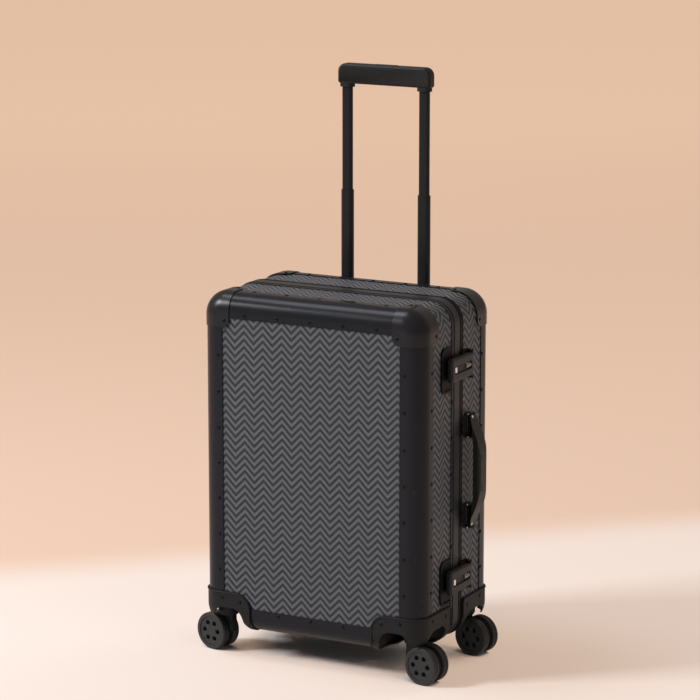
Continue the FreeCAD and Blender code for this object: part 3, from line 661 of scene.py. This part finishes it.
def rivetPlaces(side):  # side -1 is the front half, 1 the rear half
    wide, deep = halfWidth / mm, halfDepth / mm
    top, bottom = caseTop / mm, caseBottom / mm
    facing = Vector((0, side, 0))
    places = []
    for x in rivet["across"]:
        places.append((spot(x, side * deep, top - rivet["fromTop"]), facing))
        places.append((spot(x, side * (deep - rivet["fromTop"]), top), Vector((0, 0, 1))))
    for x in rivet["below"]:
        places.append((spot(x, side * deep, bottom + rivet["fromTop"]), facing))
    for end in (-1, 1):
        outward = Vector((end, 0, 0))
        for z in rivet["rows"]:
            places.append((spot(end * (wide - rivet["fromSide"]), side * deep, z), facing))
            places.append((spot(end * wide, side * (deep - rivet["onWall"]), z), outward))
            places.append((spot(end * wide, side * rivet["besideFrame"], z), outward))
        cap, guard = rivet["capProud"], rivet["guardProud"]
        for x, y, z, way in (
            (162.3, deep + cap, 582.0, facing), (wide + cap, 80.0, 582.0, outward),
            (162.3, 80.0, top + cap, Vector((0, 0, 1))),
            (135.0, deep + guard, 98.5, facing), (170.0, deep + guard, 103.0, facing),
            (wide + guard, 40.0, 99.0, outward), (wide + guard, 88.0, 103.0, outward),
        ):
            places.append((spot(end * x, side * y, z), way))
    leafLow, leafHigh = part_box("hinge_leaves_" + ("front" if side < 0 else "rear"))
    leafY = leafLow.y + rivet["leafInset"] if side < 0 else leafHigh.y - rivet["leafInset"]
    for height in rivet["leafHeights"]:
        for step in rivet["leafSteps"]:
            place = Vector((-halfWidth + middleX - rivet["leafProud"], leafY, (height + step) * mm))
            places.append((place, Vector((-1, 0, 0))))
    return places


def hostOf(name, places):
    host = bpy.data.objects.new(name + "Host", bpy.data.meshes.new(name + "Host"))
    host.data.from_pydata([place for place, way in places], [], [])
    outward = host.data.attributes.new("outward", "FLOAT_VECTOR", "POINT")
    outward.data.foreach_set("vector", [value for place, way in places for value in way])
    bpy.context.collection.objects.link(host)
    return host


def rivetMesh(name, places, size, finish):
    host = hostOf(name, places)
    tree = Tree(name)
    radius = tree.size("Head radius", size["radius"])
    height = tree.size("Head height", size["height"])
    ball = tree.node("GeometryNodeMeshUVSphere", sockets={"Segments": 14, "Rings": 8, "Radius": 1.0})
    shape = tree.node("ShaderNodeCombineXYZ", sockets={"X": radius, "Y": radius, "Z": height})
    sockets = {"Geometry": ball.outputs[0], "Scale": shape.outputs[0]}
    head = tree.node("GeometryNodeTransform", sockets=sockets)
    smooth = tree.node("GeometryNodeSetShadeSmooth", sockets={0: head.outputs[0]})
    settings = {"data_type": "FLOAT_VECTOR"}
    way = tree.node("GeometryNodeInputNamedAttribute", settings, {"Name": "outward"})
    turn = tree.node("FunctionNodeAlignRotationToVector", {"axis": "Z"}, {"Vector": way.outputs[0]})
    sockets = {"Points": tree.start.outputs[0], "Instance": smooth.outputs[0], "Rotation": turn.outputs[0]}
    heads = tree.node("GeometryNodeInstanceOnPoints", sockets=sockets)
    tree.close(heads.outputs[0], finishes[finish])
    return tree.baked(host)


stud = {
    "radius": 1.8 * mm,
    "height": 0.8 * mm,
    "x": 212.6,
    "reach": 7.0,
    "rows": (236.6, 276.0, 392.0, 431.4),
}


def addRivets():
    for name, side in (("front", -1), ("rear", 1)):
        mesh = rivetMesh(name + "Rivets", rivetPlaces(side), rivet, "rivetBlack")
        addPiece(name + "Rivets", mesh, name + "_half", "rivetBlack")
    pinLow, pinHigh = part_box("handle_brackets")
    places = []
    for z in stud["rows"]:  # studs through the ears of the handle's brackets
        for way in (-1, 1):
            y = ((pinLow.y + pinHigh.y) / 2 - middleY) / mm + way * stud["reach"]
            places.append((spot(stud["x"], y, z), Vector((0, way, 0))))
    mesh = rivetMesh("handleStuds", places, stud, "steel")
    addPiece("handleStuds", mesh, "rear_half", "steel")


stitch = {"length": 3.6 * mm, "radius": 0.45 * mm, "pitch": 5.0 * mm}


def stitchMesh(name, places, along):  # short thread capsules lying along one direction
    host = hostOf(name, places)
    tree = Tree(name)
    length = tree.size("Stitch length", stitch["length"])
    radius = tree.size("Thread radius", stitch["radius"])
    ball = tree.node("GeometryNodeMeshUVSphere", sockets={"Segments": 6, "Rings": 6, "Radius": 1.0})
    half = tree.node("ShaderNodeMath", {"operation": "MULTIPLY"}, {0: length, 1: 0.5})
    shape = tree.node("ShaderNodeCombineXYZ", sockets={"X": half.outputs[0], "Y": radius, "Z": radius})
    sockets = {"Geometry": ball.outputs[0], "Scale": shape.outputs[0]}
    thread = tree.node("GeometryNodeTransform", sockets=sockets)
    smooth = tree.node("GeometryNodeSetShadeSmooth", sockets={0: thread.outputs[0]})
    settings = {"data_type": "FLOAT_VECTOR"}
    way = tree.node("GeometryNodeInputNamedAttribute", settings, {"Name": "outward"})
    stand = tree.node("FunctionNodeAlignRotationToVector", {"axis": "Z"}, {"Vector": way.outputs[0]})
    sockets = {"Rotation": stand.outputs[0], "Vector": along}
    turn = tree.node("FunctionNodeAlignRotationToVector", {"axis": "X", "pivot_axis": "Z"}, sockets)
    sockets = {"Points": tree.start.outputs[0], "Instance": smooth.outputs[0], "Rotation": turn.outputs[0]}
    rows = tree.node("GeometryNodeInstanceOnPoints", sockets=sockets)
    tree.close(rows.outputs[0], finishes["thread"])
    return tree.baked(host)


liner = {
    "grid": 0.011,
    "merge": 0.00002,
    "crisp": 35,  # degrees
    "channel": 0.052,  # width between two seams
    "columns": 3,  # seams on each side of the middle one
    "puff": 0.0011,
    "pucker": 0.0004,
    "ripple": 55.0,
    "wall": 0.001,
    "fade": 0.03,
    "sideEdge": 0.034,
    "endEdge": 0.03,
    "seamBottom": 0.075,
    "seamTop": 0.045,
}


def eased(value):
    value = min(max(value, 0.0), 1.0)
    return value * value * (3.0 - 2.0 * value)


def liningPiece(half, side):
    node = half + "_lining"
    low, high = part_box(node)
    work = bmesh.new()
    work.from_mesh(cad[node].data)
    bmesh.ops.remove_doubles(work, verts=work.verts, dist=liner["merge"])
    for axis in range(3):  # a grid of cuts, so that the cloth can puff between its seams
        count = int((high[axis] - low[axis]) / liner["grid"])
        normal = Vector([1.0 if index == axis else 0.0 for index in range(3)])
        for index in range(1, count):
            point = normal * (low[axis] + (high[axis] - low[axis]) * index / count)
            parts = work.verts[:] + work.edges[:] + work.faces[:]
            bmesh.ops.bisect_plane(work, geom=parts, plane_co=point, plane_no=normal)
    back = low.y + liner["wall"] if side < 0 else high.y - liner["wall"]
    flatX = halfWidth - liner["sideEdge"]
    for vert in work.verts:
        place = vert.co
        if abs(place.y - back) > 0.0001:
            continue
        inX = (flatX - abs(place.x - middleX)) / liner["fade"]
        fromEnd = min(place.z - low.z - liner["endEdge"], high.z - liner["endEdge"] - place.z)
        inZ = fromEnd / liner["fade"]
        rise = math.sqrt(abs(math.sin(math.pi * (place.x - middleX) / liner["channel"])))
        wave = liner["pucker"] * noise.noise(place * liner["ripple"])
        place.y -= side * (liner["puff"] * rise + wave) * eased(inX) * eased(inZ)
    for edge in work.edges:
        edge.smooth = edge.calc_face_angle(0.0) < math.radians(liner["crisp"])
    for face in work.faces:
        face.smooth = True
    mesh = bpy.data.meshes.new(half + "Lining")
    work.to_mesh(mesh)
    area = sum(face.calc_area() for face in work.faces) / 2
    work.free()
    piece = addPiece(half + "Lining", mesh, half + "_half", "lining")
    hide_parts(node)
    seamPlaces = []
    for column in range(-liner["columns"], liner["columns"] + 1):
        height = low.z + liner["seamBottom"]
        while height < high.z - liner["seamTop"]:
            place = Vector((middleX + column * liner["channel"], back - side * 0.0001, height))
            seamPlaces.append((place, Vector((0, -side, 0))))
            height += stitch["pitch"]
    mesh = stitchMesh(half + "Seams", seamPlaces, (0.0, 0.0, 1.0))
    addPiece(half + "Seams", mesh, half + "_half", "thread")


strap = {
    "width": 38 * mm,
    "thick": 1.4 * mm,
    "edge": 0.4 * mm,
    "fromEnds": 0.025,  # from the solid's ends to the middle of each strap
    "start": 0.024,
    "half": 0.148,
    "bend": (0.028, 0.026),  # where a band comes down from its buckle, and how long that takes
    "lie": 1.5 * mm,
    "lift": 4.6 * mm,
    "hem": 0.03,
    "hemThick": 1.0 * mm,
    "hemProud": 1.2 * mm,
    "seamProud": 1.75 * mm,
    "seamApart": 0.011,
    "seamPitch": 4.8 * mm,
    "tail": 0.085,
    "tailStart": 0.027,
    "tailBend": (0.03, 0.03),
    "tailLift": 0.6,
    "tailProud": 1.5 * mm,
    "tailWidth": 37 * mm,
    "tailThick": 1.2 * mm,
}
buckle = {
    "sunk": 2.2 * mm,
    "bevel": 0.9 * mm,
    "deep": 6.0,  # steps of depth in the spans
    "spans": [  # x, y and z from the middle of the buckle, in millimetres but for y
        ((-9, 22), (0, 6), (-17, 17)),
        ((-9, -3), (0, 6), (-23.5, 23.5)),
        ((15, 24), (0, 6), (-24.5, 24.5)),
        ((22, 31), (0.8, 5.4), (-25, -20.5)),
        ((22, 31), (0.8, 5.4), (20.5, 25)),
        ((28, 31), (0.8, 5.4), (-24, 24)),
        ((-24, -10), (0.6, 5.6), (-23, 23)),
        ((-31, -22), (0.8, 5.4), (-25, -20.5)),
        ((-31, -22), (0.8, 5.4), (20.5, 25)),
        ((-31, -28), (0.8, 5.4), (-24, 24)),
        ((-4, 14), (1.2, 4.8), (-22.5, -18.2)),
        ((-4, 14), (1.2, 4.8), (18.2, 22.5)),
    ],
}


def bandInto(work, path, height, width, thick):  # webbing swept along points in plan
    half, flat, edge = width / 2, thick / 2, strap["edge"]
    profile = [(-half + edge, -flat), (half - edge, -flat), (half, -flat + edge), (half, flat - edge),
               (half - edge, flat), (-half + edge, flat), (-half, flat - edge), (-half, -flat + edge)]
    rings = []
    for index, point in enumerate(path):
        before, after = path[max(index - 1, 0)], path[min(index + 1, len(path) - 1)]
        run = (after - before).normalized()
        side = Vector((-run.y, run.x))
        ring = []
        for across, out in profile:
            plan = point + side * out
            ring.append(work.verts.new((plan.x, plan.y, height + across)))
        rings.append(ring)
    for first, second in zip(rings, rings[1:]):
        for index in range(len(profile)):
            after = (index + 1) % len(profile)
            work.faces.new((first[index], first[after], second[after], second[index]))
    work.faces.new(rings[0][::-1])
    work.faces.new(rings[-1])


def softBlock(work, low, high, bevel):
    made = bmesh.ops.create_cube(work, size=1.0)["verts"]
    centre, size = (Vector(low) + Vector(high)) / 2, Vector(high) - Vector(low)
    bmesh.ops.transform(work, matrix=Matrix.Translation(centre) @ Matrix.Diagonal((*size, 1.0)), verts=made)
    edges = {edge for vert in made for edge in vert.link_edges}
    bmesh.ops.bevel(work, geom=list(edges), offset=bevel, segments=2, profile=0.6, affect="EDGES")


def meshOf(name, work, angle=35):
    bmesh.ops.recalc_face_normals(work, faces=work.faces)
    for edge in work.edges:
        edge.smooth = edge.calc_face_angle(0.0) < math.radians(angle)
    for face in work.faces:
        face.smooth = True
    mesh = bpy.data.meshes.new(name)
    work.to_mesh(mesh)
    work.free()
    return mesh


def addStraps():
    low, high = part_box("packing_straps")
    bandBack, buckleFront = high.y, low.y
    bands, buckles, seams = bmesh.new(), bmesh.new(), []
    lie = bandBack - strap["lie"]
    lift = bandBack - strap["lift"]
    for height in (low.z + strap["fromEnds"], high.z - strap["fromEnds"]):
        for end in (-1, 1):
            path = []
            bendStart, bendLength = strap["bend"]
            for step in range(33):
                along = strap["start"] + (strap["half"] - strap["start"]) * step / 32
                rise = 1.0 - eased((along - bendStart) / bendLength)
                path.append(Vector((middleX + end * along, lie + (lift - lie) * rise)))
            bandInto(bands, path, height, strap["width"], strap["thick"])
            reach = (strap["half"] - strap["hem"], strap["half"])
            hem = [Vector((middleX + end * x, lie - strap["hemProud"])) for x in reach]
            bandInto(bands, hem, height, strap["width"], strap["hemThick"])
            for row in (-1, 1):
                x = middleX + end * (strap["half"] - strap["hem"] / 2 + row * strap["seamApart"])
                for step in range(7):
                    place = Vector((x, lie - strap["seamProud"], height + (step - 3) * strap["seamPitch"]))
                    seams.append((place, Vector((0, -1, 0))))
        tail = []
        bendStart, bendLength = strap["tailBend"]
        for step in range(19):
            along = strap["tailStart"] + strap["tail"] * step / 18
            rise = 1.0 - eased((along - bendStart) / bendLength)
            y = lie - strap["tailProud"] + (lift - lie) * strap["tailLift"] * rise
            tail.append(Vector((middleX + along, y)))
        bandInto(bands, tail, height, strap["tailWidth"], strap["tailThick"])
        depth = (bandBack - buckle["sunk"] - buckleFront) / buckle["deep"]
        for spans in buckle["spans"]:
            corners = []
            for x, y, z in zip(*spans):
                corners.append((middleX + x * mm, buckleFront + y * depth, height + z * mm))
            softBlock(buckles, *corners, buckle["bevel"])
    piece = addPiece("packingStraps", meshOf("packingStraps", bands), "rear_half", "webbing")
    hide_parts("packing_straps")
    addPiece("strapBuckles", meshOf("strapBuckles", buckles), "rear_half", "buckle")
    mesh = stitchMesh("strapSeams", seams, (0.0, 0.0, 1.0))
    addPiece("strapSeams", mesh, "rear_half", "thread")


bead = {
    "radius": 1.45,
    "inset": 1.9,
    "innerX": 115.0,
    "innerFoot": 58.0,
    "outerFoot": 80.0,
    "topRound": 28.0,
    "sideRound": 8.0,
    "edgeRound": 32.5,
}


def arc(centre, radius, start, end, steps=9):
    angles = [math.radians(start + (end - start) * step / (steps - 1)) for step in range(steps)]
    return [(centre[0] + radius * math.cos(angle), centre[1] + radius * math.sin(angle)) for angle in angles]


def beadPoints(end, side):  # up the inner edge of a guard, over its top and down beside the frame
    low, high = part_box(("front" if side < 0 else "rear") + "_wheel_guards")
    outX, outY = (high.x - middleX) / mm, abs((low.y if side < 0 else high.y) - middleY) / mm
    inY = abs((high.y if side < 0 else low.y) - middleY) / mm
    top = high.z / mm
    inner, inset = bead["innerX"], bead["inset"]
    turn, corner, down = bead["topRound"], bead["edgeRound"], bead["sideRound"]
    points = [(inner + inset, outY, bead["innerFoot"])]
    points += [(x, outY, z) for x, z in arc((inner + turn, top - turn), turn - inset, 180, 90)]
    points += [(x, y, top - inset) for x, y in arc((outX - corner, outY - corner), corner, 90, 0)]
    points += [(outX, y, z) for y, z in arc((inY + down, top - down), down - inset, 90, 180, 5)]
    points.append((outX, inY + inset, bead["outerFoot"]))
    return [spot(end * x, side * y, z) for x, y, z in points]


def addBeads():
    for half, side in (("front", -1), ("rear", 1)):
        curve = bpy.data.curves.new(half + "Beads", "CURVE")
        curve.dimensions = "3D"
        curve.bevel_depth = bead["radius"] * mm
        curve.bevel_resolution = 2
        curve.use_fill_caps = True
        for end in (-1, 1):
            points = beadPoints(end, side)
            line = curve.splines.new("POLY")
            line.points.add(len(points) - 1)
            for target, place in zip(line.points, points):
                target.co = (*place, 1.0)
        host = bpy.data.objects.new(half + "BeadHost", curve)
        bpy.context.collection.objects.link(host)
        mesh = plainMesh(host)
        bpy.data.objects.remove(host)
        mesh.polygons.foreach_set("use_smooth", [True] * len(mesh.polygons))
        addPiece(half + "Beads", mesh, half + "_half", "guardPlastic")


bowStitch = {
    "inset": 6.2 * mm,
    "count": 13,  # above and below the middle
    "sunk": 0.0002,
    "before": 0.02,  # where the search for the bow's face starts
}


def addHandleStitches():  # two rows laid on the bow's outer face
    low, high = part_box("side_handle")
    middle = (low.z + high.z) / 2
    inward = Vector((-1, 0, 0))
    places = []
    for y in (low.y + bowStitch["inset"], high.y - bowStitch["inset"]):
        for step in range(-bowStitch["count"], bowStitch["count"] + 1):
            start = Vector((high.x + bowStitch["before"], y, middle + step * stitch["pitch"]))
            found, place, facing, index = cad["side_handle"].ray_cast(start, inward)
            if found:
                places.append((place - facing * bowStitch["sunk"], facing))
    mesh = stitchMesh("handleStitches", places, (0.0, 0.0, 1.0))
    addPiece("handleStitches", mesh, "side_handle_bow", "thread")


# the strip of painted shade along the rear frame's seam, and the corner of the case's outline
seamShade = {"wide": 2.2, "proud": 0.4, "sunk": 0.1, "gap": 0.2, "corner": 40.0}


def ringPoints(inset):  # the outline of the case from the front, in millimetres
    wide, turn = halfWidth / mm - inset, seamShade["corner"] - inset
    low, high = caseBottom / mm + inset, caseTop / mm - inset
    points = []
    for x, z, start in ((1, 1, 0), (-1, 1, 90), (-1, -1, 180), (1, -1, 270)):
        centre = (x * (wide - turn), (high - turn) if z > 0 else (low + turn))
        points += arc(centre, turn, start, start + 90, 13)
    return points


def bandRing(work, outer, inner, start, end):  # a closed band between two insets and two depths
    loops = []
    for inset, y in ((outer, start), (outer, end), (inner, end), (inner, start)):
        loops.append([work.verts.new(spot(x, y, z)) for x, z in ringPoints(inset)])
    count = len(loops[0])
    for first, second in zip(loops, loops[1:] + loops[:1]):
        for index in range(count):
            after = (index + 1) % count
            work.faces.new((first[index], first[after], second[after], second[index]))


def addTrim():  # a dark strip put where the rear frame meets the canvas: painted shade along that seam
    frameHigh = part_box("rear_frame")[1]
    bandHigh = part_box("rear_wall_band")[1]
    start = (frameHigh.y - middleY) / mm + seamShade["gap"]
    inset = (halfWidth - bandHigh.x + middleX) / mm
    work = bmesh.new()
    bandRing(work, inset - seamShade["proud"], inset + seamShade["sunk"], start, start + seamShade["wide"])
    addPiece("frameSeamShade", meshOf("frameSeamShade", work), "rear_half", "seal")


lip = {"inset": 0.8, "wide": 1.4, "sunk": 0.3, "clear": 0.07}


def addSealLip():  # closes the slit between the frames to light
    low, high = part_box("frame_seal")
    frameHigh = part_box("front_frame")[1]
    outer = (halfWidth - high.x + middleX) / mm + lip["inset"]
    start = (frameHigh.y - middleY) / mm + lip["clear"]
    end = (low.y - middleY) / mm + lip["sunk"]
    work = bmesh.new()
    bandRing(work, outer, outer + lip["wide"], start, end)
    addPiece("sealLip", meshOf("sealLip", work), "rear_half", "seal")


slotShade = {  # millimetres; a dark sheet of painted shade on each lever slot's floor
    "thick": 0.12,
    "clear": 0.4,
    "below": 0.3,
    "sunk": 0.05,
    "before": 3.4,
    "half": 6.6,
    "bevel": 0.03,
}


def addInlays():  # dark sheets on the floors of the lever slots: painted shade in the slots
    for latch in ("upper", "lower"):
        low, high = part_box(latch + "_latch_lever")
        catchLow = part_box(latch + "_latch_release")[0]
        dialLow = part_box(latch + "_dial_1")[0]
        bed = catchLow.x - slotShade["below"] * mm
        middle, half = (low.z + high.z) / 2, slotShade["half"] * mm
        start, end = catchLow.y - slotShade["before"] * mm, dialLow.y - slotShade["clear"] * mm
        work = bmesh.new()
        lowCorner = (bed - slotShade["sunk"] * mm, start, middle - half)
        highCorner = (bed + slotShade["thick"] * mm, end, middle + half)
        softBlock(work, lowCorner, highCorner, slotShade["bevel"] * mm)
        name = latch + "SlotFloor"
        addPiece(name, meshOf(name, work), latch + "_lever", "seal")


numeral = {"size": 2.7 * mm, "thick": 0.05 * mm}


def numeralShapes():
    shapes = []
    for digit in range(10):
        text = bpy.data.curves.new("numeral", "FONT")
        text.body = str(digit)
        text.size = numeral["size"]
        text.extrude = numeral["thick"]
        text.resolution_u = 3
        text.align_x = "CENTER"
        text.align_y = "CENTER"
        host = bpy.data.objects.new("numeral", text)
        bpy.context.collection.objects.link(host)
        mesh = plainMesh(host)
        points = [vert.co.copy() for vert in mesh.vertices]
        shapes.append((points, [list(face.vertices) for face in mesh.polygons]))
        bpy.data.objects.remove(host)
        bpy.data.meshes.remove(mesh)
    return shapes


def addNumerals():  # wrapped round each dial, one on each land between the flutes
    shapes = numeralShapes()
    for latch in ("upper", "lower"):
        for index in (1, 2, 3):
            low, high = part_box("%s_dial_%d" % (latch, index))
            centre, radius = (low + high) / 2, (high.z - low.z) / 2
            verts, faces = [], []
            for digit, (points, polygons) in enumerate(shapes):
                first = len(verts)
                for point in points:
                    angle = math.radians(36.0 * (digit + index + 3)) + point.y / radius
                    out = radius + point.z
                    x, z = centre.x + out * math.cos(angle), centre.z + out * math.sin(angle)
                    verts.append((x, centre.y + point.x, z))
                faces += [[first + corner for corner in polygon] for polygon in polygons]
            name = "%sNumerals%d" % (latch, index)
            mesh = bpy.data.meshes.new(name)
            mesh.from_pydata(verts, [], faces)
            addPiece(name, mesh, "%s_number_dial_%d" % (latch, index), "numeralPaint")


setStage()
dressNodes()
addRivets()
print("rivets set")
for halfName, halfSide in (("front", -1), ("rear", 1)):
    liningPiece(halfName, halfSide)
print("linings sewn")
addStraps()
addBeads()
addHandleStitches()
addTrim()
addSealLip()
addInlays()
addNumerals()
print("straps, beads, stitches, trim and numerals set")

floorMesh = bpy.data.meshes.new("floor")
reach = ground["reach"]
corners = [(-reach, -reach, 0), (reach, -reach, 0), (reach, reach, 0), (-reach, reach, 0)]
floorMesh.from_pydata(corners, [], [(0, 1, 2, 3)])
floorMesh.materials.append(finishes["floor"])
floor = bpy.data.objects.new("floor", floorMesh)
bpy.context.collection.objects.link(floor)

print("scene ready")
